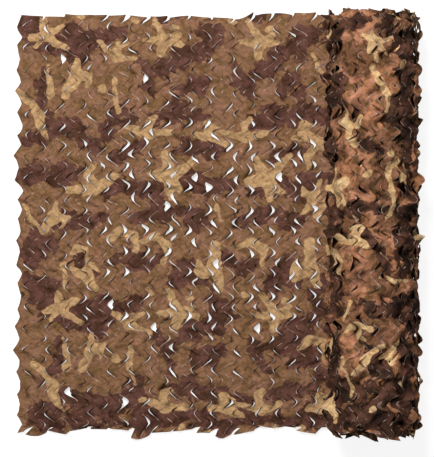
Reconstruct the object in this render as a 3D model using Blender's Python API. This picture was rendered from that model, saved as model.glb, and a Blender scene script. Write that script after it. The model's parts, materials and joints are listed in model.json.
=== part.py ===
"""Camouflage netting: one die-cut cloth, its loose end laid flat and the rest of it rolled up.

The cloth runs along X: its free end is at -X and the roll at +X. It leaves the roll from
underneath. Y is the cloth's width, and Z = 0 is the surface that it lies on. The cloth is
cut all over with rows of curved slits, whose tongues curl up like leaves, so its solid is
as thick as the curled leaves are high.
"""

import math

import bmesh
import bpy
from mathutils import Matrix

# Driving dimensions, in metres.
CLOTH_WIDTH = 1.500
ROW_PITCH = 0.077  # from one slit to the next across the cloth
COLUMN_PITCH = 0.075  # from one slit to the next along the cloth
FIRST_TOOTH = 0.041  # from the cloth's +Y edge to the first tooth of the free end
FREE_END_X = -0.7079  # mean line of the free end, which is cut in teeth
TOOTH_DEPTH = 0.024  # from the tip of a tooth to the bottom of its notch
ROLL_X = 0.5581  # axis of the roll
ROLL_HALF_WIDTH = 0.171  # from the roll's axis to its right side
ROLL_HEIGHT = 0.336
TURN_STEP = 0.017  # how much the roll's radius falls in one turn
FLAT_SPOT = 0.060  # width of the flat that the roll rests on
LOFT = 0.0090  # height of the laid cloth with its curled leaves
EDGE_LOFT = 0.0050  # the same at its free edges
LAID_RELIEF = 0.0015  # how far its rows of leaves rise and fall
ROLL_RELIEF = 0.0050  # the same round the roll, where the leaves stand out further
CREVICE_REACH = 0.046  # from the roll's axis to where its underside meets the laid cloth
EYE_DEPTH = 0.012  # how far the middle of each end of the roll sinks in
LEAF_TIPS = 0.005  # how far the leaf tips reach past the edges of the roll

STATIONS_PER_ROW = 4  # cross-sections in each row of slits
LAID_SPANS = 14  # spans along the loose end
ROLL_SPANS = 28  # spans round the roll

HALF_WIDTH = CLOTH_WIDTH / 2
FIRST_TOOTH_Y = HALF_WIDTH - FIRST_TOOTH
CREVICE_X = ROLL_X - CREVICE_REACH
ROLL_GIRTH = 2 * math.pi * ROLL_HALF_WIDTH

# The widest gaps: the column and row of a slit that has opened, the way its point looks
# (1 is +X, -1 is -X), and the gap's length along X and Y. Columns are counted from the free
# end, and rows from the first tooth. Slits that point to -X lie halfway between columns.
GAPS = [
    # column, row, points, along_x, along_y
    (2.0, 1.5, 1, 0.022, 0.034),
    (6.0, 2.5, 1, 0.023, 0.034),
    (8.5, 7.0, -1, 0.030, 0.038),
    (9.0, 7.5, 1, 0.024, 0.036),
    (12.5, 7.0, -1, 0.026, 0.036),
    (7.0, 8.5, 1, 0.026, 0.036),
    (9.5, 11.0, -1, 0.026, 0.035),
    (4.5, 13.0, -1, 0.027, 0.038),
    (6.5, 14.0, -1, 0.025, 0.035),
    (11.5, 14.0, -1, 0.024, 0.034),
    (2.5, 17.0, -1, 0.026, 0.037),
    (5.0, 17.5, 1, 0.027, 0.038),
]


def clear_scene():
    for obj in list(bpy.data.objects):
        bpy.data.objects.remove(obj, do_unlink=True)


def new_collection(name):
    collection = bpy.data.collections.new(name)
    bpy.context.scene.collection.children.link(collection)
    return collection


def add_object(name, mesh, collection):
    """Turns a bmesh into an object."""
    data = bpy.data.meshes.new(name)
    mesh.to_mesh(data)
    mesh.free()
    obj = bpy.data.objects.new(name, data)
    collection.objects.link(obj)
    return obj


def fabric_material():
    material = bpy.data.materials.new("printed_fabric")
    material.use_nodes = True
    shader = material.node_tree.nodes["Principled BSDF"]
    shader.inputs["Base Color"].default_value = (0.26, 0.15, 0.08, 1.0)
    shader.inputs["Roughness"].default_value = 0.8
    shader.inputs["Metallic"].default_value = 0.0
    return material


def smooth_step(value):
    value = min(max(value, 0.0), 1.0)
    return value * value * (3.0 - 2.0 * value)


def row_angle(y):
    """Runs through a full turn in each row of slits, and is 0 at the tip of each tooth."""
    return 2 * math.pi * (y - FIRST_TOOTH_Y) / ROW_PITCH


def leaf_rows(along, y):
    """The relief of the curled leaves, from -1 to 1: rows across the cloth, staggered along it."""
    return math.cos(row_angle(y)) * math.cos(math.pi * along / COLUMN_PITCH)


def free_end_x(y):
    """The free end's teeth: one to a row, blunt, and no two quite in line."""
    wander = 0.004 * math.sin(6.6 * y) + 0.003 * math.sin(16.7 * y + 1.0)
    return FREE_END_X - TOOTH_DEPTH / 2 * math.cos(row_angle(y)) + wander


def laid_height(x, y):
    """Top of the laid cloth: uneven all over, and lower towards its free edges."""
    inside = min(x - free_end_x(y), HALF_WIDTH - abs(y))
    lofted = smooth_step(inside / 0.06)
    slow = 0.0010 * math.sin(9.0 * x + 4.0 * math.sin(3.1 * y)) + 0.0008 * math.sin(13.0 * y + 5.0 * x)
    relief = LAID_RELIEF * leaf_rows(x - FREE_END_X, y)
    return EDGE_LOFT + (LOFT - EDGE_LOFT + relief) * lofted + slow


def roll_point(turn, y):
    """A point on the roll's outside at turn 0 (underneath), past +X and the top, to turn 1."""
    angle = 2 * math.pi * turn
    slow = 0.0020 * math.sin(3 * angle + 2.2 * y) + 0.0017 * math.sin(5 * angle - 3.7 * y)
    relief = ROLL_RELIEF * leaf_rows(turn * ROLL_GIRTH, y)
    # The unevenness fades out underneath, where the roll's own weight presses it flat.
    uneven = (slow + relief) * (1.0 - math.cos(angle)) / 2
    size = 1.0 + (uneven - TURN_STEP * turn) / ROLL_HALF_WIDTH
    x = ROLL_X + ROLL_HALF_WIDTH * size * math.sin(angle)
    z = ROLL_HEIGHT / 2 * (1.0 - size * math.cos(angle))
    return x, z


def roll_outline(y):
    """Round the roll, from the right end of its flat spot to just above the crevice."""
    first = FLAT_SPOT / 2 / ROLL_GIRTH
    last = 1.0 - 1.25 * CREVICE_REACH / ROLL_GIRTH
    points = [(roll_point(first, y)[0], 0.0)]
    for span in range(1, ROLL_SPANS + 1):
        points.append(roll_point(first + (last - first) * span / ROLL_SPANS, y))
    return points


def stations():
    """The cross-sections' places along Y: both edges, and STATIONS_PER_ROW in each row."""
    step = ROW_PITCH / STATIONS_PER_ROW
    lowest = math.ceil((-HALF_WIDTH - FIRST_TOOTH_Y) / step + 0.3)
    highest = math.floor((HALF_WIDTH - FIRST_TOOTH_Y) / step - 0.3)
    inner = [FIRST_TOOTH_Y + step * index for index in range(lowest, highest + 1)]
    return [-HALF_WIDTH, *inner, HALF_WIDTH]


def add_section(mesh, y):
    """One cross-section: along the laid underside, once round the roll, back along the top."""
    start = free_end_x(y)
    section = {"underside": [], "outline": [], "top": []}
    for span in range(LAID_SPANS + 1):
        x = start + (CREVICE_X - start) * span / LAID_SPANS
        section["underside"].append(mesh.verts.new((x, y, 0.0)))
        section["top"].append(mesh.verts.new((x, y, laid_height(x, y))))
    for x, z in roll_outline(y):
        section["outline"].append(mesh.verts.new((x, y, z)))
    return section


def ring(section):
    return section["underside"] + section["outline"] + section["top"][::-1]


def close_edge(mesh, section, side):
    """Closes one edge: a strip along the laid cloth, and a sunk fan on the end of the roll."""
    underside, outline, top = section["underside"], section["outline"], section["top"]
    for index, vert in enumerate(outline[1:]):
        vert.co.y += side * LEAF_TIPS * (0.5 + 0.5 * math.sin(2.4 * index + 1.3 * side))
    for index in range(LAID_SPANS):
        mesh.faces.new((underside[index], underside[index + 1], top[index + 1], top[index]))
    eye = mesh.verts.new((ROLL_X, side * (HALF_WIDTH - EYE_DEPTH), ROLL_HEIGHT / 2))
    rim = [underside[-1], *outline, top[-1]]
    for index, vert in enumerate(rim):
        mesh.faces.new((vert, rim[(index + 1) % len(rim)], eye))


def build_net(collection):
    """Lofts the cross-sections from one edge of the cloth to the other."""
    mesh = bmesh.new()
    loft = [add_section(mesh, y) for y in stations()]
    for near, far in zip(loft, loft[1:]):
        near_ring, far_ring = ring(near), ring(far)
        for index in range(len(near_ring)):
            after = (index + 1) % len(near_ring)
            mesh.faces.new((near_ring[index], far_ring[index], far_ring[after], near_ring[after]))
    close_edge(mesh, loft[0], -1)
    close_edge(mesh, loft[-1], 1)
    bmesh.ops.recalc_face_normals(mesh, faces=mesh.faces)
    net = add_object("net", mesh, collection)
    net.data.shade_smooth()
    net.data.set_sharp_from_angle(angle=math.radians(40))
    return net


def build_gap_cutter(collection):
    """One three-sided prism for each of the widest gaps, all in one mesh."""
    mesh = bmesh.new()
    for column, row, points, along_x, along_y in GAPS:
        prism = bmesh.ops.create_cone(
            mesh, cap_ends=True, segments=3, radius1=1.0, radius2=1.0, depth=LOFT * 6
        )["verts"]
        # The prism's first corner looks along +Y. Turned a quarter, it looks along X.
        quarter = Matrix.Rotation(-points * math.pi / 2, 3, "Z")
        bmesh.ops.rotate(mesh, verts=prism, matrix=quarter)
        bmesh.ops.scale(mesh, verts=prism, vec=(along_x / 1.5, along_y / math.sqrt(3), 1.0))
        # The slits' points stand a quarter of a column out from the middle of their line.
        point_x = FREE_END_X + COLUMN_PITCH * (column + points / 4)
        place = (point_x - points * along_x * 2 / 3, FIRST_TOOTH_Y - ROW_PITCH * row, 0.0)
        bmesh.ops.translate(mesh, verts=prism, vec=place)
    cutter = add_object("gap_cutter", mesh, collection)
    cutter.hide_render = True
    cutter.display_type = "WIRE"
    return cutter


def main():
    clear_scene()
    net = build_net(new_collection("camouflage_netting"))
    net.data.materials.append(fabric_material())
    gaps = net.modifiers.new("gaps", "BOOLEAN")
    gaps.operation = "DIFFERENCE"
    gaps.solver = "EXACT"
    gaps.object = build_gap_cutter(new_collection("cutters"))


main()
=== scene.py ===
"""Looks of the camouflage netting: one die-cut cloth, partly rolled up.

The cloth is worked out flat, as strips between its lines of slits. Each slit bends the
tongue on one side of it and lifts the lip on the other. The flat cloth is then laid on the
floor, wound into the roll, and given its thickness. Its print is drawn from short tables
of motifs, as distances that the material turns into colours.
"""

import json
import math

import bpy
import numpy as np
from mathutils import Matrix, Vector

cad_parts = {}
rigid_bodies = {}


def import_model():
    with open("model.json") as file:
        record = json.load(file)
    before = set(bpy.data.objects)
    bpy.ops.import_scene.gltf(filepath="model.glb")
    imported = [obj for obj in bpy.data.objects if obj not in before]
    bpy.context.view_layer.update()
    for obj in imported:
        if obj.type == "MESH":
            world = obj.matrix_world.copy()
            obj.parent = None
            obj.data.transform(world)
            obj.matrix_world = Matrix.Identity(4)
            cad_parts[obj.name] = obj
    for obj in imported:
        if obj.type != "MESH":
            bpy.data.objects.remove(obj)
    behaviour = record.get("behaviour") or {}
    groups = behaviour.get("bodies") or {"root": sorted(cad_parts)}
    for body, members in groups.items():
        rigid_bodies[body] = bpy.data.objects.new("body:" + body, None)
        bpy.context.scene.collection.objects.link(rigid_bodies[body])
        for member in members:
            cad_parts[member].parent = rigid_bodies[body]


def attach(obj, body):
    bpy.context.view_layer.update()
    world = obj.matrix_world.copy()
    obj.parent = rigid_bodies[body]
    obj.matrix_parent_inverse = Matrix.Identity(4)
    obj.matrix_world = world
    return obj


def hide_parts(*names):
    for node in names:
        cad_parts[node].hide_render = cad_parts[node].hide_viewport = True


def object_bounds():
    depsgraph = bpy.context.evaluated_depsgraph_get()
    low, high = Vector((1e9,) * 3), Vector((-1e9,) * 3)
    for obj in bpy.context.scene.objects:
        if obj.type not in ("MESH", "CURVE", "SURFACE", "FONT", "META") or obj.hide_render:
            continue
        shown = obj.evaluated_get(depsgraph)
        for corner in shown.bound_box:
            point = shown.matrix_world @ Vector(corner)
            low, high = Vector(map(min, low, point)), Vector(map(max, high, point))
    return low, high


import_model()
cad_low, cad_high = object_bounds()

# The cloth and its roll, in metres. The CAD solid has the same sizes, but for the cloth's
# length and thickness, which aren't in it.
CLOTH_WIDTH = 1.500
CLOTH_LENGTH = 6.000
CLOTH_THICKNESS = 0.0006
ROW_PITCH = 0.077  # from one slit to the next across the cloth
COLUMN_PITCH = 0.075  # from one slit to the next along the cloth
FIRST_TOOTH = 0.041  # from the cloth's +Y edge to the first tooth of the free end
FREE_END_X = cad_low.x + 0.0180  # mean line of the free end
ROLL_X = 0.5581  # axis of the roll
ROLL_HEIGHT = cad_high.z
TURN_STEP = 0.017  # how much the roll's radius falls in one turn

# How the cloth is cut.
ZIGZAG_DEPTH = 0.0375  # of the lines that the slits follow, from point to point
ZIGZAG_SHARP = 0.82  # 1 is a zigzag with sharp points, and 0 is a wave
TOOTH_DEPTH = 0.019  # of the free end's teeth
STATIONS = 16  # cross-sections in each row of slits
ARM_UP = (4.2, 6.0)  # a slit's arm towards +Y, in stations: shortest and longest
ARM_DOWN = (5.4, 7.6)  # and its arm towards -Y
STRIP = COLUMN_PITCH / 2  # from one line of slits to the next
FINE = 40  # steps across a strip when a leaf's bend is added up
COLUMNS = [0, 4, 10, 20, 30, 36, 40]  # the steps that the mesh keeps: closer beside the slits
COARSE_COLUMNS = [0, 6, 20, 34, 40]  # and the same for what hardly shows
TEETH = 40  # numbers drawn for each measure of the free end's teeth
TEETH_BEFORE = 5  # how many of them come before the first tooth's
EDGE_FLAPS = 100  # numbers drawn for each measure of the flaps at one edge
FOLD_LENGTH = 0.010  # how much cloth is in the bend of a fold
TUCK = 0.90  # how much of a gap's length its tongue is folded under by

# How it lies.
LAID_BASE = 0.0140  # height of the laid cloth's middle surface
EDGE_BASE = 0.0050  # and of its free edges
FLOOR_GAP = 0.0006  # least height of the cloth's middle surface
FLOOR_SOFTNESS = 0.0012  # how gently it is pressed flat on the floor
LEAF_ROOM = 0.0100  # what the roll's middle surface leaves of its height to the leaves
ROLL_SINK = 0.001  # how much lower than the laid cloth the roll's underside is

HALF_WIDTH = CLOTH_WIDTH / 2
FIRST_TOOTH_V = HALF_WIDTH - FIRST_TOOTH
ROLL_START = ROLL_X - FREE_END_X


def smooth(x):
    x = np.clip(x, 0.0, 1.0)
    return x * x * (3.0 - 2.0 * x)


def in_roll(s):
    """0 in the laid cloth and 1 in the roll. It changes just after the roll's start."""
    return smooth((s - ROLL_START - 0.05) / 0.1)


def waves(a, b, length, seed, count=9):
    """Smooth unevenness from -1 to 1 or so, with bumps of about that length."""
    draw = np.random.default_rng(seed)
    total = np.zeros(np.broadcast(a, b).shape)
    for _ in range(count):
        way = draw.uniform(0, 2 * np.pi)
        number = 2 * np.pi / (length * draw.uniform(0.7, 1.5))
        phase = draw.uniform(0, 2 * np.pi)
        total = total + np.sin(number * (a * math.cos(way) + b * math.sin(way)) + phase)
    return total / math.sqrt(count / 2) / 1.6


def creases(a, b, length, seed, count=5):
    """The same with sharp creases between flat facets."""
    draw = np.random.default_rng(seed)
    total = np.zeros(np.broadcast(a, b).shape)
    for _ in range(count):
        way = draw.uniform(0, 2 * np.pi)
        number = np.pi / (length * draw.uniform(0.7, 1.6))
        phase = draw.uniform(0, 2 * np.pi)
        bent = phase + 0.6 * waves(a, b, 2.5 * length, seed + 50, 4)
        turn = number * (a * math.cos(way) + b * math.sin(way)) + bent
        total = total + np.arcsin(np.sin(turn)) / (np.pi / 2)
    return total / math.sqrt(count / 2) / 1.2


# ---------------------------------------------------------------- the flat cloth


def zigzag_line(v):
    """How far a line of slits stands from its mean line: a zigzag with rounded points."""
    turn = 2 * np.pi * (v - FIRST_TOOTH_V) / ROW_PITCH
    return -ZIGZAG_DEPTH / 2 * np.arcsin(ZIGZAG_SHARP * np.cos(turn)) / math.asin(ZIGZAG_SHARP)


def toothed_line(v):
    """The same for the free end: pointed teeth of uneven length, and small bumps between."""
    row = (FIRST_TOOTH_V - v) / ROW_PITCH
    draw = np.random.default_rng(31)
    length = TOOTH_DEPTH * draw.uniform(0.85, 1.30, TEETH)
    bump = TOOTH_DEPTH * draw.uniform(0.0, 0.25, TEETH)
    lean = draw.uniform(-0.12, 0.12, TEETH)
    number = np.round(row).astype(int) + TEETH_BEFORE
    away = row - np.round(row)
    away = away + lean[number] * (1 - 4 * away**2)
    tooth = length[number] * (1 - np.abs(2 * away).clip(0, 1)) ** 1.2
    between = bump[np.floor(row).astype(int) + TEETH_BEFORE] * np.sin(np.pi * away) ** 4
    return TOOTH_DEPTH / 2 - tooth - between


def line_shift(s, v):
    """How far along the cloth its lines are drawn out, from the free end's teeth on."""
    near_end = np.clip(1.0 - s / STRIP, 0.0, 1.0)
    return near_end * toothed_line(v) + (1.0 - near_end) * zigzag_line(v)


def stations(margin=None):
    """Places across the cloth, and their numbers, which are 0 at the first tooth.

    Further than margin from both edges they are eight times as far apart.
    """
    step = ROW_PITCH / STATIONS
    lowest = math.ceil((-HALF_WIDTH - FIRST_TOOTH_V) / step + 0.3)
    highest = math.floor((HALF_WIDTH - FIRST_TOOTH_V) / step - 0.3)
    index = np.arange(lowest, highest + 1)
    v = FIRST_TOOTH_V + step * index
    if margin is not None:
        keep = (np.abs(v) > HALF_WIDTH - margin) | (index % (STATIONS // 2) == 0)
        index = index[keep]
        v = v[keep]
    v = np.concatenate([[-HALF_WIDTH], v, [HALF_WIDTH]])
    index = np.concatenate([[index[0] - 1], index, [index[-1] + 1]])
    return v, index


# The widest gaps, as the CAD solid has them: column, row, and their length.
GAPS = [
    # column, row, along_x
    (2.0, 1.5, 0.022),
    (6.0, 2.5, 0.023),
    (8.5, 7.0, 0.030),
    (9.0, 7.5, 0.024),
    (12.5, 7.0, 0.026),
    (7.0, 8.5, 0.026),
    (9.5, 11.0, 0.026),
    (4.5, 13.0, 0.027),
    (6.5, 14.0, 0.025),
    (11.5, 14.0, 0.024),
    (2.5, 17.0, 0.026),
    (5.0, 17.5, 0.027),
]
GAP_HALF_WIDTH = 0.019  # half of how far each of them reaches across the cloth

# Flaps of the cloth's edges that hang out furthest, or are drawn in.
HANGING = [
    # edge (1 is +Y, -1 is -Y), flap counted from the free end, how far it reaches out
    (-1, 1, 0.020),
    (-1, 6, 0.021),
    (-1, 10, 0.018),
    (1, 10, -0.014),
    (1, 12, 0.009),
]


def openness(s, v):
    """How far the laid net's slits gape, from 0 to 1.

    They gape most in a band along its middle. Outside it they gape more towards the corner
    of the free end and the -Y edge than elsewhere.
    """
    along = s / ROLL_START
    across = (HALF_WIDTH - v) / CLOTH_WIDTH
    band = smooth((across - 0.20) / 0.14) * smooth((0.80 - across) / 0.14)
    corner = smooth((across - 0.60) / 0.20) * smooth((0.70 - along) / 0.30)
    outside = 0.13 + 0.24 * corner
    return 0.13 + 0.59 * smooth((along - 0.03) / 0.33) * (outside + (1 - outside) * band)


class Leaf:
    """How the cloth bends on one side of a line of slits: arrays over the stations.

    tilt and crest bend it up, in radians, and curl turns down the two fifths of it that are
    nearest to the slit. A low root spreads the tilt over the whole leaf, and a high one keeps
    it near the slit. pulled and lapped are how far it is drawn back from the slit or over it.
    twist lifts one arm of the slit and drops the other, and sway moves it across.
    """

    def __init__(self, root, tilt, crest, curl, pulled, lapped, twist, sway):
        self.root = root
        self.tilt = tilt[:, None]
        self.crest = crest[:, None]
        self.curl = curl[:, None]
        self.pulled = pulled[:, None]
        self.lapped = lapped[:, None]
        self.twist = twist[:, None]
        self.sway = sway[:, None]


class Slits:
    """One line's slits: where each station is on its slit, and the leaves on both sides."""

    def __init__(self, line, v, index):
        self.draw = np.random.default_rng(1000 + line)
        offset = 0 if line % 2 else STATIONS // 2  # odd lines point to -X, at the teeth's rows
        # The 0.04 gives a station halfway between two slits to the one towards +Y.
        number = np.round((index - offset) / STATIONS + 0.04).astype(int)
        self.each = number - number.min()
        self.count = self.each.max() + 1
        away = index - offset - number * STATIONS
        up, down = self.drawn(*ARM_UP), self.drawn(*ARM_DOWN)
        place = np.where(away > 0, away / up, away / down)
        self.cut = np.abs(place) < 0.999
        place = np.clip(place, -1.0, 1.0)
        # A leaf's tip isn't in the middle of its slit.
        skew = self.drawn(-0.4, 0.4)
        self.place = place + skew * (1 - place**2)
        self.tuck = self.tucks(line, v)
        self.leaves(line, v)

    def drawn(self, low, high):
        return self.draw.uniform(low, high, self.count)[self.each]

    def tucks(self, line, v):
        """How much of the tongue is folded under at the widest gaps, as a share of the strip."""
        tuck = np.zeros(len(v))
        for column, row, along_x in GAPS:
            if line != round(2 * column):
                continue
            away = np.abs(v - FIRST_TOOTH_V + ROW_PITCH * row)
            here = self.cut & (away < GAP_HALF_WIDTH)
            round_off = (1 - (away / GAP_HALF_WIDTH) ** 2).clip(0, 1)
            depth = TUCK * along_x * round_off / STRIP
            tuck = np.where(here, depth, tuck)
        return tuck[:, None]

    def leaves(self, line, v):
        """Draws how the tongue and the lip of each slit are bent."""
        drawn = self.drawn
        s = line * STRIP
        rolled = in_roll(s)

        def either(laid, roll):
            return laid * (1 - rolled) + roll * rolled

        # Slits that point to -X gape less than the others.
        gape = openness(s, v) * (0.75 if line % 2 else 1.0)
        lively = 0.55 + 0.45 * gape
        # A third of the laid tongues curl little and aren't drawn back.
        shut = drawn(0, 1) < 0.34
        laid_curl = np.where(shut, drawn(0.1, 0.5), drawn(0.6, 2.3) * (0.28 + 0.72 * gape))
        laid_tilt = np.where(drawn(0, 1) < 0.85, -drawn(0.3, 1.4), drawn(0.2, 1.0)) * lively
        # On the roll's -X side the tongues are tilted further.
        flare = 1.0 + 0.8 * math.exp(-(((s - 2.0) / 0.07) ** 2))
        roll_tilt = flare * np.where(drawn(0, 1) < 0.70, -drawn(0.1, 1.2), drawn(0.1, 0.7))
        root = 2.4 - 1.2 * rolled
        pulled = 0.0100 * drawn(0, 1) ** 2.5 - 0.0014
        self.tongue = Leaf(
            root=root,
            tilt=either(laid_tilt, roll_tilt),
            crest=either(drawn(0.0, 0.7) * lively, drawn(-0.6, 0.2)),
            curl=either(laid_curl, -drawn(-1.0, 0.9)),
            pulled=either(gape * np.where(shut, 0.0, pulled), drawn(0.0005, 0.0045)),
            lapped=either(0.0016 + 0.0026 * (1 - gape), 0 * gape),
            twist=either(drawn(-0.006, 0.006) * lively, drawn(-0.015, 0.015)),
            sway=drawn(-0.003, 0.003),
        )
        self.lip = Leaf(
            root=root,
            tilt=either(drawn(0.1, 1.1) * lively, drawn(-0.1, 0.5)),
            crest=drawn(-0.15, 0.25),
            curl=either(drawn(-0.5, 0.3), drawn(-0.6, 0.4)),
            pulled=either(gape * drawn(0.0, 0.0012), drawn(-0.001, 0.003)),
            lapped=0 * gape,
            twist=either(drawn(-0.003, 0.003), drawn(-0.008, 0.008)),
            sway=drawn(-0.0015, 0.0015),
        )


def bend(leaf, place, tuck, columns):
    """How a strip's columns move, from its middle to the slit: along it, across it and up.

    along is positive towards the slit. Each is an array of stations by columns.
    """
    t = np.linspace(0, 1, FINE + 1)[None, :]
    place = place[:, None]
    window = (1 - place**2).clip(0, 1) ** 1.1
    tip = np.exp(-((place / 0.55) ** 2)) * window
    angle = window * (leaf.tilt * t**leaf.root + leaf.crest * np.sin(2 * np.pi * t))
    angle = angle - tip * leaf.curl * smooth((t - 0.60) / 0.38)
    # A tucked tongue is folded under along a curved line across it.
    folded = smooth((t - (1 - tuck)) * STRIP / FOLD_LENGTH) * (tuck > 0)
    angle = angle - np.pi * folded
    middle = (angle[:, 1:] + angle[:, :-1]) / 2
    step = STRIP / FINE
    start = np.zeros((len(place), 1))
    along = np.concatenate([start, np.cumsum(np.cos(middle) - 1, 1) * step], 1)
    up = np.concatenate([start, np.cumsum(np.sin(middle), 1) * step], 1)
    along = along - (tip * leaf.pulled - window * leaf.lapped) * t**1.5
    up = up + window * leaf.twist * place * t**1.5
    across = window * leaf.sway * t**1.5
    return along[:, columns], across[:, columns], up[:, columns]


class Cloth:
    """Some strips of the flat cloth, with their leaves bent: arrays of strip, station, column."""

    def __init__(self, first, count, columns, margin=None):
        self.first = first
        self.columns = columns
        self.v_places, self.index = stations(margin)
        shape = (count, len(self.v_places), len(columns))
        self.strips = first + np.arange(count)
        t = np.array(columns) / FINE
        s = (self.strips[:, None, None] + t[None, None, :]) * STRIP
        self.v = np.broadcast_to(self.v_places[None, :, None], shape).copy()
        self.s = np.broadcast_to(s, shape).copy()
        self.s = self.s + line_shift(self.s, self.v)
        self.flat_s = self.s.copy()
        self.flat_v = self.v.copy()
        self.rolled = in_roll(self.flat_s)
        self.up = np.zeros(shape)
        self.cut = np.zeros((count + 1, len(self.v_places)), bool)
        fine = np.ones(len(self.v_places), bool)
        if margin is not None:
            fine = np.abs(self.v_places) > HALF_WIDTH - margin + ROW_PITCH / STATIONS
        for line in range(max(first, 1), first + count + 1):
            self.bend_line(line, fine)
        self.curl_free_end()
        # How deep the cloth is bent away from the side that shows, which the material darkens
        # with painted shade. In the roll, up is inwards.
        self.hollow_shade = smooth(np.where(self.rolled > 0.5, self.up / 0.0060, -self.up / 0.0075))
        self.fray()
        self.crumple()

    def bend_line(self, line, fine):
        slits = Slits(line, self.v_places, self.index)
        cut = slits.cut & fine
        # A slit that comes as near to an edge as the last station but one runs out at it.
        cut[0], cut[-1] = cut[1], cut[-2]
        place = np.where(cut, slits.place, 1.0)
        self.cut[line - self.first] = cut
        tongue_before = line % 2 == 0  # even lines point to +X
        for strip, before in ((line - 1, True), (line, False)):
            if not self.first <= strip < self.first + len(self.strips):
                continue
            is_tongue = before == tongue_before
            leaf = slits.tongue if is_tongue else slits.lip
            tuck = slits.tuck if is_tongue else 0 * slits.tuck
            along, across, up = bend(leaf, place, tuck, self.columns)
            if not before:
                along, across, up = -along[:, ::-1], across[:, ::-1], up[:, ::-1]
            self.s[strip - self.first] += along
            self.v[strip - self.first] += across
            self.up[strip - self.first] += up

    def curl_free_end(self):
        """Turns the free end's teeth down to the floor, each by its own amount."""
        if self.first > 0:
            return
        draw = np.random.default_rng(41)
        row = (FIRST_TOOTH_V - self.v_places) / ROW_PITCH
        number = np.round(row).astype(int) + TEETH_BEFORE
        tooth = np.cos(np.pi * (row - np.round(row))) ** 2
        drop = tooth * draw.uniform(0.0015, 0.0060, TEETH)[number]
        t = 1 - np.array(self.columns) / FINE
        self.up[0] -= drop[:, None] * t[None, :] ** 2.5

    def fray(self):
        """Pulls and turns the flaps between the slits that run out at the cloth's two edges.

        Those in HANGING hang out of the edge further, or are drawn in. A flap is two strips
        long, and at the -Y edge it starts a strip earlier than at the +Y edge.
        """
        uneven = 0.0045 * smooth((self.flat_s - 0.72) / 0.1) + 0.0030 * self.rolled
        for side, odd, reach in ((1, 0, 0.032), (-1, 1, 0.028)):
            strength = 0.0058 - 0.0025 * side + uneven
            flap = ((self.strips + odd) // 2)[:, None, None]
            draw = np.random.default_rng(80 + side)
            pull, slant, lift, narrow = draw.uniform(-1, 1, (4, EDGE_FLAPS))
            hanging = np.zeros(EDGE_FLAPS)
            for which, number, length in HANGING:
                if which == side:
                    hanging[number] = length
            near = smooth((side * self.flat_v - HALF_WIDTH + reach) / reach)
            away = self.flat_s / STRIP - (2 * flap - odd + 1)
            out = strength * (pull[flap] - 0.35 + 0.25 * side + slant[flap] * away)
            out = out + hanging[flap] * (1 - 0.45 * away - 0.50 * away**2)
            self.v += side * near * out
            self.s -= near * STRIP * away * (0.04 + 0.22 * narrow[flap] ** 4)
            self.up -= near * strength * (0.8 + 0.8 * self.rolled) * (lift[flap] - 0.3)

    def crumple(self):
        """The relief and the shifts that all the cloth has."""
        s, v = self.flat_s, self.flat_v
        laid = 0.0027 * creases(s, v, 0.028, 11) + 0.0030 * waves(s, v, 0.075, 12)
        laid += 0.0015 * waves(s, v, 0.35, 13)
        roll = 0.0065 * creases(s, v, 0.034, 18) + 0.0030 * waves(s, v, 0.14, 19)
        self.up += laid * (1 - self.rolled) + roll * self.rolled
        inside = smooth((HALF_WIDTH - np.abs(v)) / 0.05)
        self.s += 0.0045 * waves(s, v, 0.20, 14) + 0.0022 * waves(s, v, 0.07, 16)
        self.v += inside * (0.0040 * waves(s, v, 0.20, 15) + 0.0022 * waves(s, v, 0.07, 17))
        self.v += (1 - inside) * 0.0030 * waves(s, 0 * v, 0.22, 20)


# ---------------------------------------------------------------- laying and rolling


def place_cloth(cloth):
    """World places of the cloth's points: laid as far as the roll's axis, and wound after it.

    The roll is a spiral. Its radius falls evenly with phi, the angle from the roll's underside
    past +X and the top, so its length is quadratic in phi.
    """
    s, v, up = cloth.s, cloth.v, cloth.up
    r0 = ROLL_HEIGHT / 2 - LEAF_ROOM / 2
    centre_z = LAID_BASE + r0 - ROLL_SINK
    wound = np.maximum(s - ROLL_START, 0.0)
    k = TURN_STEP / (2 * np.pi)
    phi = (r0 - np.sqrt(np.maximum(r0**2 - 2 * k * wound, 1e-6))) / k
    # On its -X side, at a phi of about 4.5, the outer turn hangs off the roll.
    loose = 0.010 + 0.008 * waves(0 * v, v, 0.11, 23)
    radius = r0 - k * phi - up + loose * np.exp(-(((phi - 4.5) / 0.65) ** 2))
    # The laid cloth is lower towards its free edges.
    inside = np.minimum(cloth.flat_s + TOOTH_DEPTH / 2, HALF_WIDTH - np.abs(cloth.flat_v))
    low = (1 - smooth(inside / 0.07)) * smooth((ROLL_START - s) / 0.2)
    laid_z = LAID_BASE - (LAID_BASE - EDGE_BASE) * low + up
    x = np.where(wound > 0, ROLL_X + radius * np.sin(phi), FREE_END_X + s)
    z = np.where(wound > 0, centre_z - radius * np.cos(phi), laid_z)
    z = FLOOR_GAP + FLOOR_SOFTNESS * np.logaddexp(0, (z - FLOOR_GAP) / FLOOR_SOFTNESS)
    # Away from its long edges the laid cloth snakes a little from side to side.
    laid = 1 - smooth((s - ROLL_START + 0.15) / 0.1)
    inner = np.clip(1 - (v / HALF_WIDTH) ** 2, 0, 1)
    y = v + 0.008 * laid * inner * np.sin(2 * np.pi * (s - 0.3) / 0.7)
    return np.stack([x, y, z], -1)


# ---------------------------------------------------------------- meshes


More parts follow.
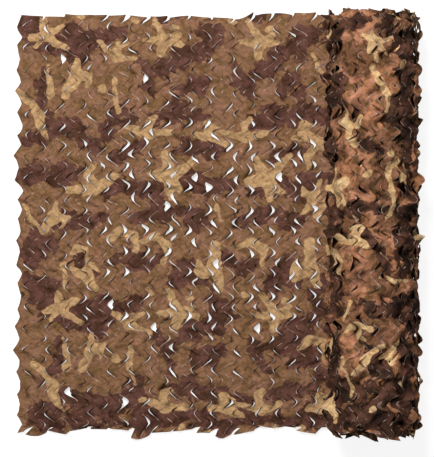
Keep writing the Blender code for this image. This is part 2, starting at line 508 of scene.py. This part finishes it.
class Sheet:
    """The cloth's middle surface as one mesh, with a value at each point for its material."""

    def __init__(self, cloth):
        places = place_cloth(cloth)
        count, rows, columns = places.shape[:3]
        ids = np.full((count, rows, columns), -1)
        total = 0
        for strip in range(count):
            if strip > 0:
                joined = ~cloth.cut[strip]
                ids[strip, joined, 0] = ids[strip - 1, joined, columns - 1]
            new = ids[strip] < 0
            ids[strip][new] = total + np.arange(new.sum())
            total += new.sum()
        self.ids = ids
        self.points = self.each_point(places)
        corners = [ids[:, :-1, :-1], ids[:, :-1, 1:], ids[:, 1:, 1:], ids[:, 1:, :-1]]
        self.quads = np.stack(corners, -1).reshape(count, -1, 4)
        self.s = self.each_point(cloth.flat_s)
        self.v = self.each_point(cloth.flat_v)
        self.hollow_shade = self.each_point(cloth.hollow_shade)
        self.edge = np.zeros(total)
        self.edge[boundary(self.quads.reshape(-1, 4)).ravel()] = 1.0
        self.tan, self.dark = printed(self.s, self.v)
        self.normals = normals(self.points, self.quads.reshape(-1, 4))

    def each_point(self, values):
        """Values for strips, stations and columns, put in the order of the mesh's points."""
        out = np.zeros((self.ids.max() + 1, *values.shape[3:]))
        out[self.ids] = values
        return out


def boundary(quads):
    """The quads' edges that only one of them has, as they run in it."""
    edges = np.concatenate([quads[:, [i, (i + 1) % 4]] for i in range(4)])
    low, high = edges.min(1), edges.max(1)
    key = low.astype(np.int64) * (edges.max() + 1) + high
    _, index, counts = np.unique(key, return_index=True, return_counts=True)
    return edges[index[counts == 1]]


def normals(points, quads):
    """The surface's direction at each point, averaged over the quads round it."""
    p = points[quads]
    n = np.cross(p[:, 2] - p[:, 0], p[:, 3] - p[:, 1])
    total = np.zeros_like(points)
    for corner in range(4):
        np.add.at(total, quads[:, corner], n)
    return total / np.maximum(np.linalg.norm(total, axis=1, keepdims=True), 1e-12)


def thick_object(name, sheet, strips):
    """A closed shell round some of the sheet's strips, of the cloth's thickness."""
    used, quads = np.unique(sheet.quads[strips].reshape(-1, 4), return_inverse=True)
    quads = quads.reshape(-1, 4)
    n = len(used)
    away = sheet.normals[used] * CLOTH_THICKNESS / 2
    rim = boundary(quads)
    rims = np.stack([rim[:, 1], rim[:, 0], rim[:, 0] + n, rim[:, 1] + n], -1)
    faces = np.concatenate([quads, quads[:, ::-1] + n, rims])
    verts = np.concatenate([sheet.points[used] + away, sheet.points[used] - away])
    mesh = bpy.data.meshes.new(name)
    mesh.vertices.add(len(verts))
    mesh.vertices.foreach_set("co", verts.astype(np.float32).ravel())
    mesh.loops.add(faces.size)
    mesh.loops.foreach_set("vertex_index", faces.astype(np.int32).ravel())
    mesh.polygons.add(len(faces))
    mesh.polygons.foreach_set("loop_start", np.arange(0, faces.size, 4, dtype=np.int32))
    mesh.update(calc_edges=True)
    mesh.validate()
    mesh.shade_smooth()
    mesh.set_sharp_from_angle(angle=math.radians(70))
    side = np.concatenate([np.zeros(n), np.ones(n)])
    set_values(mesh, "side", side)
    for value, values in (
        ("cloth_s", sheet.s),
        ("cloth_v", sheet.v),
        ("cut_edge", sheet.edge),
        ("hollow_shade", sheet.hollow_shade),
        ("tan", sheet.tan),
        ("dark", sheet.dark),
    ):
        set_values(mesh, value, np.concatenate([values[used], values[used]]))
    s = np.concatenate([sheet.s[used], sheet.s[used]])
    v = np.concatenate([sheet.v[used], sheet.v[used]])
    unwrap(mesh, s, v, side, len(quads))
    obj = bpy.data.objects.new(name, mesh)
    bpy.context.scene.collection.objects.link(obj)
    return obj


def set_values(mesh, name, values):
    attribute = mesh.attributes.new(name, "FLOAT", "POINT")
    attribute.data.foreach_set("value", values.astype(np.float32))


# Where the front is in the map that the finish is baked to, from 0 to 1. The back is shifted
# to the other half, and the shell's rims are in the narrow strip between them.
MAP_WIDTH = 0.49
MAP_HEIGHT = 0.99
MAP_LEFT = 0.003
MAP_BOTTOM = 0.005
BACK_SHIFT = 0.504
RIM_LEFT = 0.4985
RIM_WIDTH = 0.003


def unwrap(mesh, s, v, side, quads):
    """Lays the front and the back side by side in the map that the finish is baked to."""
    loops = np.zeros(len(mesh.loops), np.int32)
    mesh.loops.foreach_get("vertex_index", loops)
    u = (s - s.min()) / (s.max() - s.min()) * MAP_WIDTH + MAP_LEFT + BACK_SHIFT * side
    w = (v + HALF_WIDTH) / CLOTH_WIDTH * MAP_HEIGHT + MAP_BOTTOM
    u = u[loops]
    rims = slice(quads * 8, None)  # after the four corners of each quad, on both faces
    u[rims] = RIM_LEFT + RIM_WIDTH * side[loops][rims]
    layer = mesh.uv_layers.new(name="OFBake")
    layer.data.foreach_set("uv", np.stack([u, w[loops]], -1).astype(np.float32).ravel())


# ---------------------------------------------------------------- the print

# Each motif is a few chains of round brush marks: along the cloth, across it, radius.
KINDS = {
    "star": [
        [(0.0, 0.0, 0.020), (-0.012, 0.046, 0.015)],
        [(0.0, 0.0, 0.018), (0.062, 0.028, 0.009)],
        [(0.0, 0.0, 0.018), (-0.064, -0.022, 0.009)],
        [(-0.008, -0.008, 0.014), (-0.040, -0.050, 0.007)],
        [(0.0, -0.006, 0.016), (0.070, -0.056, 0.009)],
    ],
    "club": [[(-0.010, 0.055, 0.007), (0.0, 0.0, 0.010), (0.008, -0.046, 0.017)]],
    "boot": [
        [(0.0, 0.0, 0.022), (0.004, 0.062, 0.011)],
        [(0.0, 0.0, 0.020), (-0.030, -0.062, 0.014)],
        [(0.006, 0.010, 0.016), (0.050, 0.008, 0.015), (0.036, -0.030, 0.005)],
    ],
    "branch": [
        [(-0.062, 0.052, 0.009), (-0.030, 0.026, 0.012), (0.0, 0.0, 0.016)],
        [(0.0, 0.0, 0.014), (0.012, 0.044, 0.012), (0.040, 0.052, 0.009)],
        [(0.0, 0.0, 0.014), (0.064, -0.012, 0.009)],
    ],
    "runner": [
        [(-0.072, 0.085, 0.013), (-0.030, 0.045, 0.011), (0.0, 0.0, 0.024)],
        [(0.0, 0.0, 0.022), (0.006, -0.036, 0.017), (0.036, -0.082, 0.006)],
    ],
    "finger": [[(0.0, 0.060, 0.008), (-0.004, 0.0, 0.010), (0.010, -0.060, 0.006)]],
    "strip": [
        [(-0.090, 0.004, 0.006), (-0.048, 0.016, 0.009), (0.0, 0.0, 0.010)],
        [(0.0, 0.0, 0.010), (0.045, -0.016, 0.009), (0.090, 0.002, 0.006)],
    ],
    "hook": [
        [(-0.050, -0.004, 0.010), (-0.015, 0.020, 0.014), (0.030, 0.006, 0.012)],
        [(0.030, 0.006, 0.012), (0.034, -0.044, 0.009)],
    ],
    "dot": [[(0.0, 0.0, 0.013), (0.010, -0.008, 0.011)]],
    "patch": [
        [(-0.030, 0.010, 0.028), (0.030, -0.006, 0.030)],
        [(0.0, 0.0, 0.028), (0.010, -0.040, 0.020)],
    ],
    "drift": [
        [(-0.085, 0.0, 0.018), (-0.020, 0.012, 0.028), (0.035, -0.006, 0.024)],
        [(0.035, -0.006, 0.024), (0.090, 0.010, 0.014)],
    ],
    "streak": [[(-0.050, 0.006, 0.012), (0.0, 0.0, 0.018), (0.052, -0.006, 0.012)]],
}

# Where they stand: along the cloth from the free end, across it from the +Y edge.
TAN = [
    # kind, along, across, turn in degrees, size
    ("star", 0.100, 0.062, 0, 1.0),
    ("club", 0.112, 0.235, 0, 1.0),
    ("boot", 0.200, 0.225, 0, 1.0),
    ("branch", 0.350, 0.148, 0, 1.0),
    ("runner", 0.070, 0.355, 0, 1.0),
    ("finger", 0.346, 0.290, 0, 1.0),
    ("dot", 0.294, 0.257, 0, 1.0),
    ("star", 0.518, 0.095, 150, 1.0),
    ("dot", 0.412, 0.014, 0, 1.0),
    ("dot", 0.553, 0.045, 40, 1.0),
    ("branch", 0.470, 0.437, 20, 1.1),
    ("star", 0.540, 0.580, 75, 1.25),
    ("boot", 0.690, 0.435, 90, 0.9),
    ("finger", 0.712, 0.690, 10, 0.7),
    ("hook", 0.385, 0.800, 0, 1.1),
    ("hook", 0.500, 0.830, -20, 1.1),
    ("branch", 0.275, 0.620, 40, 1.3),
    ("boot", 0.125, 0.720, -10, 0.9),
    ("finger", 0.042, 0.720, 30, 0.9),
    ("hook", 0.220, 0.840, 0, 0.7),
    ("club", 0.165, 0.925, 180, 0.9),
    ("boot", 0.240, 0.930, 60, 0.9),
    ("boot", 0.700, 0.900, 200, 1.2),
]
DARK = [
    ("patch", 0.025, 0.040, 0, 1.2),
    ("drift", 0.230, 0.090, 10, 1.6),
    ("patch", 0.200, 0.130, 0, 1.0),
    ("streak", 0.085, 0.250, 90, 1.3),
    ("drift", 0.060, 0.440, 10, 0.8),
    ("drift", 0.110, 0.570, 0, 1.3),
    ("drift", 0.200, 0.430, -30, 1.2),
    ("patch", 0.340, 0.380, 60, 1.1),
    ("streak", 0.465, 0.235, -60, 1.3),
    ("streak", 0.400, 0.480, 30, 1.2),
    ("drift", 0.580, 0.370, 0, 1.1),
    ("drift", 0.610, 0.150, 30, 1.3),
    ("patch", 0.690, 0.060, 0, 0.9),
    ("patch", 0.625, 0.250, 30, 1.0),
    ("drift", 0.650, 0.490, 0, 1.0),
    ("drift", 0.620, 0.620, 0, 1.5),
    ("drift", 0.390, 0.630, 0, 1.1),
    ("drift", 0.500, 0.720, 5, 0.95),
    ("patch", 0.630, 0.735, 30, 0.8),
    ("drift", 0.200, 0.740, 5, 1.2),
    ("patch", 0.060, 0.830, 90, 1.3),
    ("streak", 0.220, 0.870, -50, 1.2),
    ("drift", 0.430, 0.890, 0, 1.0),
    ("patch", 0.600, 0.940, 60, 1.3),
    ("patch", 0.080, 0.960, 0, 1.1),
]
# This much further across the cloth, and along it, the same print comes again. What stands
# between the two places of COPIED also comes again further along, and turned a little.
REPEAT_ACROSS = 0.977
REPEAT_ALONG = 0.054
COPIED = (0.40, 0.76)
COPY_ALONG = 0.345
COPY_TURN = 8

# Beside the roll.
BESIDE_TAN = [
    ("hook", 1.060, 0.500, 60, 1.0),
    ("branch", 1.070, 0.650, 90, 0.9),
    ("hook", 1.060, 1.190, 0, 1.1),
    ("finger", 1.080, 0.190, 30, 0.9),
]
# The top of the roll, where the cloth's other face looks out.
ROLL_TAN = [
    ("star", 1.755, 0.110, 200, 0.75),
    ("finger", 1.965, 0.080, 60, 0.8),
    ("strip", 1.740, 0.250, 80, 1.15),
    ("branch", 1.870, 0.400, 100, 1.05),
    ("dot", 1.700, 0.495, 0, 1.0),
    ("dot", 1.780, 0.570, 0, 0.9),
    ("strip", 1.700, 0.620, 100, 1.2),
    ("hook", 1.665, 0.560, 70, 0.9),
    ("dot", 1.650, 0.180, 0, 1.2),
    ("star", 1.905, 0.620, 40, 1.0),
    ("boot", 1.840, 0.805, 120, 0.95),
    ("hook", 1.925, 0.870, 60, 1.1),
    ("finger", 1.690, 0.945, 90, 0.9),
    ("finger", 1.860, 1.060, 20, 0.7),
    ("branch", 1.815, 1.110, 200, 0.8),
    ("runner", 1.800, 1.225, 10, 0.7),
    ("strip", 1.860, 1.290, 80, 0.8),
    ("boot", 1.705, 1.200, 250, 0.7),
    ("boot", 1.935, 1.400, 0, 0.8),
    ("dot", 1.760, 1.400, 0, 0.9),
]
# Dark marks of the roll. Those along its two sides, at about 1.62 to 1.65 and 1.93 to 1.99 along,
# and near its -Y end are partly print and partly painted shade.
ROLL_DARK = [
    ("streak", 1.830, 0.040, 0, 1.1),
    ("drift", 1.910, 0.230, 80, 1.0),
    ("streak", 1.905, 0.090, 90, 1.1),
    ("streak", 1.915, 0.720, 90, 1.1),
    ("streak", 1.905, 1.000, 80, 1.2),
    ("streak", 1.900, 1.310, 80, 1.1),
    ("streak", 1.700, 0.060, 90, 1.2),
    ("patch", 1.690, 0.380, 90, 0.8),
    ("drift", 1.800, 0.700, 0, 0.8),
    ("streak", 1.780, 0.480, 30, 0.9),
    ("patch", 1.940, 0.500, 0, 0.8),
    ("drift", 1.760, 0.840, 60, 0.9),
    ("patch", 1.930, 0.990, 60, 0.9),
    ("drift", 1.720, 1.060, 20, 0.9),
    ("patch", 1.930, 1.230, 0, 0.9),
    ("drift", 1.780, 1.340, 0, 1.1),
    ("patch", 1.690, 1.420, 0, 1.1),
    ("drift", 1.860, 1.450, 0, 1.0),
    ("drift", 1.980, 0.150, 90, 1.0),
    ("drift", 1.990, 0.360, 90, 1.0),
    ("drift", 1.985, 0.740, 90, 1.0),
    ("drift", 1.980, 1.110, 90, 1.0),
    ("drift", 1.985, 1.340, 90, 1.0),
    ("drift", 1.650, 0.250, 90, 1.0),
    ("drift", 1.640, 0.560, 90, 1.0),
    ("drift", 1.650, 0.830, 90, 1.0),
    ("drift", 1.640, 1.230, 90, 1.0),
    ("patch", 1.860, 1.340, 30, 1.2),
    ("drift", 1.740, 1.260, 60, 1.1),
    ("patch", 1.700, 1.330, 0, 1.1),
    ("patch", 1.930, 1.440, 0, 1.0),
    ("drift", 1.950, 0.050, 90, 1.0),
    ("patch", 1.960, 0.620, 0, 0.9),
    ("drift", 1.950, 0.870, 90, 0.9),
    ("patch", 1.960, 1.180, 0, 1.0),
    ("patch", 1.950, 0.300, 0, 0.9),
    ("streak", 1.955, 0.440, 90, 1.0),
    ("patch", 1.960, 0.760, 0, 0.8),
    ("patch", 1.950, 1.060, 0, 0.9),
    ("patch", 1.950, 1.310, 0, 0.9),
    ("patch", 1.630, 0.100, 0, 1.0),
    ("patch", 1.620, 0.420, 0, 1.0),
    ("patch", 1.630, 0.700, 0, 1.0),
    ("patch", 1.620, 1.030, 0, 1.0),
    ("patch", 1.640, 1.370, 0, 1.2),
    ("patch", 1.800, 1.410, 0, 1.2),
    ("patch", 1.750, 1.465, 0, 1.1),
]
# Beside the -Y edge: partly print and partly painted shade, which darkens the laid cloth towards
# that edge.
EDGE_DARK = [
    ("patch", 0.080, 1.440, 20, 1.0),
    ("drift", 0.220, 1.465, 0, 1.1),
    ("patch", 0.330, 1.410, 50, 0.9),
    ("patch", 0.470, 1.450, 0, 1.0),
    ("drift", 0.640, 1.440, 10, 1.0),
    ("patch", 0.800, 1.400, 40, 0.9),
    ("drift", 0.950, 1.460, 0, 1.1),
    ("patch", 1.080, 1.420, 30, 1.0),
]


def marks(rows):
    """All the brush marks of a table's motifs, as segments: two ends and their radii."""
    out = []
    for kind, along, across, turn, size in rows:
        cos = math.cos(math.radians(turn)) * size
        sin = math.sin(math.radians(turn)) * size
        for chain in KINDS[kind]:
            ends = [
                (along + a * cos - b * sin, HALF_WIDTH - across + a * sin + b * cos, r * size)
                for a, b, r in chain
            ]
            out += list(zip(ends, ends[1:]))
    return np.array(out)


MARK_REACH = 0.16  # a mark's middle further off than this, in s or v, is left out


def distance(s, v, segments, blend):
    """Distance outside the marks, in metres, negative inside. Marks that meet melt together."""
    total = np.zeros(len(s))
    for (s0, v0, r0), (s1, v1, r1) in segments:
        near = np.abs(s - (s0 + s1) / 2) < MARK_REACH
        near &= np.abs(v - (v0 + v1) / 2) < MARK_REACH
        ds, dv = s1 - s0, v1 - v0
        t = np.clip(((s[near] - s0) * ds + (v[near] - v0) * dv) / (ds * ds + dv * dv), 0, 1)
        d = np.hypot(s[near] - s0 - t * ds, v[near] - v0 - t * dv) - r0 - t * (r1 - r0)
        total[near] += np.exp(-d / blend)
    return -blend * np.log(np.maximum(total, 1e-9))


def spread_rows(rows):
    """The table with its repeats across the cloth and along it."""
    out = []
    for n in (-1, 0, 1):
        for kind, along, across, turn, size in rows:
            row = (kind, along + n * REPEAT_ALONG, across + n * REPEAT_ACROSS, turn, size)
            out.append(row)
            if COPIED[0] < along < COPIED[1]:
                out.append((kind, row[1] + COPY_ALONG, row[2], turn + COPY_TURN, size))
    return out


def random_rows(kinds, start, stop, pitch, seed, sizes):
    """Motifs at random, one to each square of the pitch's size."""
    draw = np.random.default_rng(seed)
    out = []
    for s in np.arange(start, stop, pitch):
        for d in np.arange(0, CLOTH_WIDTH + pitch, pitch):
            kind = kinds[draw.integers(len(kinds))]
            at = draw.uniform(-0.35, 0.35, 2) * pitch
            out.append((kind, s + at[0], d + at[1], draw.uniform(0, 360), draw.uniform(*sizes)))
    return out


TAN_KINDS = ["star", "boot", "branch", "hook", "runner", "finger", "strip"]
DARK_KINDS = ["patch", "drift", "streak"]
TAN_MARKS = marks(
    spread_rows(TAN)
    + random_rows(TAN_KINDS, 1.18, 1.66, 0.16, 5, (0.6, 0.9))
    + BESIDE_TAN
    + ROLL_TAN
    + random_rows(TAN_KINDS, 2.05, CLOTH_LENGTH, 0.17, 7, (0.6, 0.9))
)
DARK_MARKS = marks(
    spread_rows(DARK)
    + random_rows(DARK_KINDS, 1.16, 1.66, 0.16, 6, (0.7, 1.1))
    + ROLL_DARK
    + EDGE_DARK
    + random_rows(DARK_KINDS, 2.05, CLOTH_LENGTH, 0.16, 8, (0.7, 1.1))
)


def printed(s, v):
    """Distances outside the tan motifs and outside the dark ones."""
    s = s + 0.0030 * waves(s, v, 0.045, 21)
    v = v + 0.0030 * waves(s, v, 0.045, 22)
    return distance(s, v, TAN_MARKS, 0.003), distance(s, v, DARK_MARKS, 0.009)


# ---------------------------------------------------------------- materials


def linear(red, green, blue):
    """A colour given as 0 to 255 values, as the shader takes it."""
    out = []
    for value in (red, green, blue):
        c = value / 255
        out.append(c / 12.92 if c <= 0.04045 else ((c + 0.055) / 1.055) ** 2.4)
    return (*out, 1.0)


def add_node(tree, kind, inputs=None, **settings):
    node = tree.nodes.new("ShaderNode" + kind)
    for name, value in settings.items():
        setattr(node, name, value)
    for name, value in (inputs or {}).items():
        if isinstance(value, bpy.types.NodeSocket):
            tree.links.new(value, node.inputs[name])
        else:
            node.inputs[name].default_value = value
    return node


def ramp(tree, factor, low, high, a=0.0, b=1.0):
    """Turns factor from low to high into a to b, smoothly."""
    inputs = {0: factor, 1: low, 2: high, 3: a, 4: b}
    return add_node(tree, "MapRange", inputs, interpolation_type="SMOOTHSTEP").outputs[0]


def mix(tree, factor, a, b, way="MIX"):
    inputs = {0: factor, 6: a, 7: b}
    return add_node(tree, "Mix", inputs, data_type="RGBA", blend_type=way).outputs[2]


def tint(tree, factor, colour, by):
    """Multiplies the colour by another, as far as factor says."""
    return mix(tree, factor, colour, by, "MULTIPLY")


def grey(value):
    return (value, value, value, 1.0)


def math_node(tree, operation, *values):
    return add_node(tree, "Math", dict(enumerate(values)), operation=operation).outputs[0]


# The print's colours on the cloth's two faces.
FRONT = {
    "base": (145, 105, 73),
    "rosy": (151, 109, 83),
    "olive": (131, 96, 62),
    "dark": (86, 54, 39),
    "maroon": (110, 71, 60),
    "light": (202, 161, 114),
    "dull": (182, 145, 101),
}
BACK = {
    "base": (161, 111, 80),
    "rosy": (182, 127, 99),
    "olive": (120, 86, 57),
    "dark": (60, 40, 30),
    "maroon": (92, 60, 47),
    "light": (232, 195, 144),
    "dull": (206, 162, 112),
}
# The pale cut edge's colour: partly frayed cloth, partly a painted highlight.
CUT_EDGE = (208, 176, 158)


def cloth_material():
    """The printed cloth: its motifs, the unevenness of its dye, its weave and its wear."""
    material = bpy.data.materials.new("camouflage_cloth")
    material.use_nodes = True
    tree = material.node_tree
    shader = tree.nodes["Principled BSDF"]

    def value(name):
        return add_node(tree, "Attribute", attribute_name=name).outputs["Fac"]

    place = add_node(tree, "CombineXYZ", {0: value("cloth_s"), 1: value("cloth_v")}).outputs[0]

    def noise(scale, detail=2.0, stretch=(1.0, 1.0)):
        vector = place
        if stretch != (1.0, 1.0):
            inputs = {0: place, 1: (*stretch, 1.0)}
            vector = add_node(tree, "VectorMath", inputs, operation="MULTIPLY").outputs[0]
        node = add_node(tree, "TexNoise", {"Vector": vector, "Scale": scale, "Detail": detail})
        return node.outputs["Fac"]

    # The print's outlines: finely ragged round the tan motifs, and ragged at three scales
    # round the dark ones.
    fine_rag = math_node(tree, "MULTIPLY_ADD", noise(170.0), 0.008, -0.004)
    coarse_rag = math_node(tree, "MULTIPLY_ADD", noise(48.0), 0.050, -0.025)
    wide_rag = math_node(tree, "MULTIPLY_ADD", noise(15.0), 0.100, -0.050)
    rag = math_node(tree, "ADD", wide_rag, math_node(tree, "ADD", fine_rag, coarse_rag))
    tan = math_node(tree, "ADD", value("tan"), fine_rag)
    dark = math_node(tree, "ADD", value("dark"), rag)
    on_tan = ramp(tree, tan, -0.0010, 0.0010, 1.0, 0.0)
    on_dark = ramp(tree, dark, -0.0030, 0.0030, 1.0, 0.0)
    is_rosy = ramp(tree, noise(13.0), 0.46, 0.58)
    is_olive = ramp(tree, noise(24.0, 3.0), 0.52, 0.60)
    is_maroon = ramp(tree, noise(20.0), 0.40, 0.58)
    is_dull = ramp(tree, noise(36.0, 3.0), 0.45, 0.66)

    def face(colours):
        c = {name: linear(*rgb) for name, rgb in colours.items()}
        ground = mix(tree, is_olive, mix(tree, is_rosy, c["base"], c["rosy"]), c["olive"])
        shade = mix(tree, is_maroon, c["dark"], c["maroon"])
        light = mix(tree, is_dull, c["light"], c["dull"])
        return mix(tree, on_tan, mix(tree, on_dark, ground, shade), light)

    # The other face is dyed less evenly, in browner and redder patches.
    patchy = ramp(tree, noise(9.0, 3.0), 0.43, 0.57)
    patches = mix(tree, patchy, (0.60, 0.58, 0.52, 1.0), (1.31, 1.27, 1.20, 1.0))
    less_on_tan = ramp(tree, on_tan, 0.0, 1.0, 1.0, 0.35)
    back = tint(tree, less_on_tan, face(BACK), patches)
    colour = mix(tree, value("side"), face(FRONT), back)
    # The tone varies in random blotches, and the hollows beside the slits are darkened with
    # painted shade.
    blotch = ramp(tree, noise(75.0, 3.0), 0.30, 0.70)
    colour = tint(tree, 1.0, colour, mix(tree, blotch, grey(0.76), grey(1.15)))
    colour = tint(tree, value("hollow_shade"), colour, (0.40, 0.35, 0.32, 1.0))
    # Along the cut edges it is darker, a painted shadow of the lifted leaf edges, and in places
    # the edge is pale, partly frayed cloth and partly a painted highlight.
    worn_and_highlit = ramp(tree, value("cut_edge"), 0.42, 0.82)
    worn_and_highlit = math_node(tree, "MULTIPLY", worn_and_highlit, ramp(tree, noise(26.0), 0.46, 0.60))
    rim = ramp(tree, value("cut_edge"), 0.05, 0.75)
    rim = math_node(tree, "MULTIPLY", rim, ramp(tree, noise(14.0), 0.40, 0.62, 0.10, 1.0))
    colour = tint(tree, rim, colour, (0.42, 0.34, 0.31, 1.0))
    colour = mix(tree, worn_and_highlit, colour, linear(*CUT_EDGE))
    # Slubs: threads of uneven thickness, along the cloth and across it.
    along = noise(1.0, 2.0, (60.0, 900.0))
    slub = math_node(tree, "ADD", along, noise(1.0, 2.0, (900.0, 60.0)))
    thread = ramp(tree, slub, 0.70, 1.30)
    colour = tint(tree, 1.0, colour, mix(tree, thread, grey(0.94), grey(1.05)))
    tree.links.new(colour, shader.inputs["Base Color"])
    shader.inputs["Specular IOR Level"].default_value = 0.18
    rough = ramp(tree, thread, 0.0, 1.0, 0.82, 0.70)
    tree.links.new(rough, shader.inputs["Roughness"])
    weave = add_node(tree, "Bump", {"Height": slub, "Strength": 0.35, "Distance": 0.0006})
    small = math_node(tree, "MULTIPLY", noise(150.0), 0.3)
    rumples = math_node(tree, "ADD", noise(62.0, 3.0), small)
    inputs = {"Height": rumples, "Strength": 1.0, "Distance": 0.007, "Normal": weave.outputs[0]}
    tree.links.new(add_node(tree, "Bump", inputs).outputs[0], shader.inputs["Normal"])
    return material


FLOOR_FADE = 0.06  # how far inside the CAD box's sides the floor has changed over


def floor_material():
    """White where the camera sees it, and darker to the light that it throws back.

    Under the net it glows less and its paint is paler, so that the shadows of the cloth show
    in the gaps.
    """
    material = bpy.data.materials.new("white_floor")
    material.use_nodes = True
    tree = material.node_tree
    shader = tree.nodes["Principled BSDF"]
    shader.inputs["Roughness"].default_value = 0.9
    shader.inputs["Emission Color"].default_value = (1.0, 1.0, 1.0, 1.0)
    seen = add_node(tree, "LightPath").outputs["Is Camera Ray"]
    place = add_node(tree, "NewGeometry").outputs["Position"]
    axes = add_node(tree, "SeparateXYZ", {0: place}).outputs
    beyond_x = math_node(tree, "SUBTRACT", math_node(tree, "ABSOLUTE", axes[0]), cad_high.x)
    beyond_y = math_node(tree, "SUBTRACT", math_node(tree, "ABSOLUTE", axes[1]), cad_high.y)
    beyond = math_node(tree, "MAXIMUM", beyond_x, beyond_y)
    paler = ramp(tree, beyond, -FLOOR_FADE, 0.0, 0.22, 0.0)
    paint = math_node(tree, "ADD", math_node(tree, "MULTIPLY", seen, paler), 0.30)
    tree.links.new(paint, shader.inputs["Base Color"])
    glowing = ramp(tree, beyond, -FLOOR_FADE, 0.0, 0.68, 0.89)
    glow = math_node(tree, "MULTIPLY", seen, glowing)
    tree.links.new(glow, shader.inputs["Emission Strength"])
    return material


# ---------------------------------------------------------------- the netting

SHOWN_PIECES = [
    # name, strips, how it is held
    ("net_free_end", 17, "laid"),
    ("net_beside_roll", 17, "laid"),
    ("net_outer_turn_1", 13, "folded"),
    ("net_outer_turn_2", 13, "folded"),
    ("net_second_turn", 23, "folded"),
]
SHOWN_STRIPS = sum(count for name, count, held in SHOWN_PIECES)
INNER_STRIPS = round(CLOTH_LENGTH / STRIP) - SHOWN_STRIPS
INNER_MARGIN = 0.10  # how far in from the roll's two ends the inner turns have slits


def declare(piece, material):
    """Gives a piece its material, puts it on the root body, and hides the CAD part named net."""
    piece.data.materials.append(material)
    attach(piece, "root")
    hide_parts("net")


def build_netting():
    material = cloth_material()
    sheet = Sheet(Cloth(0, SHOWN_STRIPS, COLUMNS))
    first = 0
    for name, count, held in SHOWN_PIECES:
        declare(thick_object(name, sheet, slice(first, first + count)), material)
        first += count
    inner = Sheet(Cloth(SHOWN_STRIPS, INNER_STRIPS, COARSE_COLUMNS, INNER_MARGIN))
    piece = thick_object("net_inner_turns", inner, slice(None))
    declare(piece, material)


def build_stage():
    """The floor, a faint light from all round, and a lamp high up beyond the +Y edge."""
    size = 30.0
    corners = [(-size, -size, 0), (size, -size, 0), (size, size, 0), (-size, size, 0)]
    mesh = bpy.data.meshes.new("floor")
    mesh.from_pydata(corners, [], [(0, 1, 2, 3)])
    floor = bpy.data.objects.new("floor", mesh)
    bpy.context.scene.collection.objects.link(floor)
    mesh.materials.append(floor_material())

    world = bpy.data.worlds.new("studio")
    bpy.context.scene.world = world
    world.use_nodes = True
    background = world.node_tree.nodes["Background"]
    background.inputs["Color"].default_value = (1.0, 1.0, 1.0, 1.0)
    background.inputs["Strength"].default_value = 0.09

    lamp = bpy.data.lights.new("key_light", "AREA")
    lamp.size = 2.4
    lamp.energy = 608.0
    key = bpy.data.objects.new("key_light", lamp)
    key.location = (-1.3, 3.8, 6.8)
    key.rotation_mode = "QUATERNION"
    key.rotation_quaternion = (-Vector(key.location)).to_track_quat("-Z", "Y")
    bpy.context.scene.collection.objects.link(key)


CAMERA_HEIGHT = 18.0
VIEW_LENGTH = 1.642  # how much of the floor the longer side of the picture takes in


def build_camera():
    """Straight above the netting, where the photograph was taken from."""
    data = bpy.data.cameras.new("camera")
    camera = bpy.data.objects.new("camera", data)
    camera.location = (0.003, -0.015, CAMERA_HEIGHT)
    data.sensor_width = 36.0
    data.lens = data.sensor_width * CAMERA_HEIGHT / VIEW_LENGTH
    bpy.context.scene.collection.objects.link(camera)
    bpy.context.scene.camera = camera


build_camera()
build_netting()
build_stage()
bpy.context.scene.view_settings.view_transform = "Standard"
